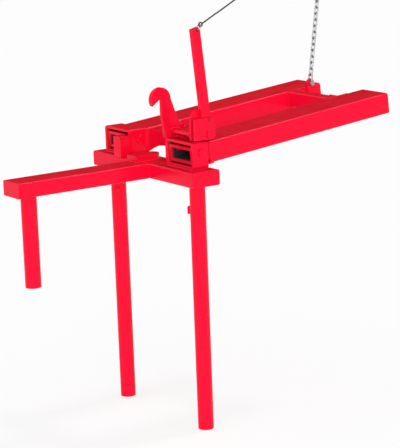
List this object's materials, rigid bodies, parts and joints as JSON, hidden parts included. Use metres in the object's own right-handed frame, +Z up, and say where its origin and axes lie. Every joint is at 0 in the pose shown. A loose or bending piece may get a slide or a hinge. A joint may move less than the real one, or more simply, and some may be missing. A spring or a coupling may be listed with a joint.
{
  "type": "drum lifter",
  "caption": "Red fork truck drum lifter with sloping fork channels, a tilting T-shaped head on three legs, a rope-worked claw latch and a safety chain.",
  "frame": {"origin": "midway between the two fork pocket mouths, on the channels' centre lines", "axes": "+Z up, +Y towards the truck, +X towards the rope lever"},
  "size_m": [0.654, 1.4802, 1.5676],
  "materials": {
    "red_paint": "glossy red paint over welded steel",
    "galvanised": "bright zinc plating",
    "black_steel": "blackened steel bolt",
    "rope_fibre": "dark twisted fibre"
  },
  "bodies": {
    "fork_frame": {"channel_near": "red_paint", "channel_far": "red_paint", "tongue_near": "red_paint", "tongue_far": "red_paint", "rear_cross_member": "red_paint", "corner_gussets": "red_paint", "chain_lug": "red_paint", "tilt_stops": "red_paint"},
    "grab_head": {"cross_beam": "red_paint", "arm": "red_paint", "beam_end_plates": "red_paint", "leg_near": "red_paint", "leg_far": "red_paint", "leg_front": "red_paint", "leg_plugs": "red_paint", "grip_pads": "red_paint", "joint_strap": "red_paint", "sleeve_near": "red_paint", "sleeve_far": "red_paint", "tie_plate": "red_paint", "stop_post": "red_paint", "pivot_pins": "red_paint", "pivot_washers": "galvanised", "latch_bearings": "red_paint"},
    "latch": {"latch_shaft": "red_paint", "shaft_collar": "red_paint", "claw": "red_paint", "latch_bridge": "red_paint", "socket_plates": "red_paint", "socket_bolt": "black_steel", "rope_lever": "red_paint", "rope_ring": "galvanised", "rope": "rope_fibre", "rope_loops": "rope_fibre"},
    "shackle": {"shackle_bow": "galvanised", "shackle_pin": "galvanised"},
    "chain_low": {"chain_lower": "galvanised"},
    "chain_high": {"chain_upper": "galvanised"},
    "hook": {"chain_hook": "galvanised"}
  },
  "joints": [
    {"name": "head_tilt", "type": "hinge", "parent": "fork_frame", "child": "grab_head", "pos_m": [0, -0.85876, -0.07516], "axis": [1, 0, 0], "range_deg": [-4.4, 12]},
    {"name": "latch_turn", "type": "hinge", "parent": "grab_head", "child": "latch", "pos_m": [0, -0.82176, -0.01516], "axis": [1, 0, 0], "range_deg": [-32, 0]},
    {"name": "shackle_swing", "type": "hinge", "parent": "fork_frame", "child": "shackle", "pos_m": [-0.122, -0.05767, 0.04509], "axis": [1, 0, 0], "range_deg": [-45, 45]},
    {"name": "chain_swing", "type": "hinge", "parent": "shackle", "child": "chain_low", "pos_m": [-0.122, -0.05273, 0.08024], "axis": [1, 0, 0], "range_deg": [-30, 30]},
    {"name": "chain_bend", "type": "hinge", "parent": "chain_low", "child": "chain_high", "pos_m": [-0.122, -0.02971, 0.24403], "axis": [0, 0.9903, -0.1392], "range_deg": [-30, 30]},
    {"name": "hook_swing", "type": "hinge", "parent": "chain_high", "child": "hook", "pos_m": [-0.122, -0.00663, 0.40832], "axis": [1, 0, 0], "range_deg": [-40, 40]}
  ]
}
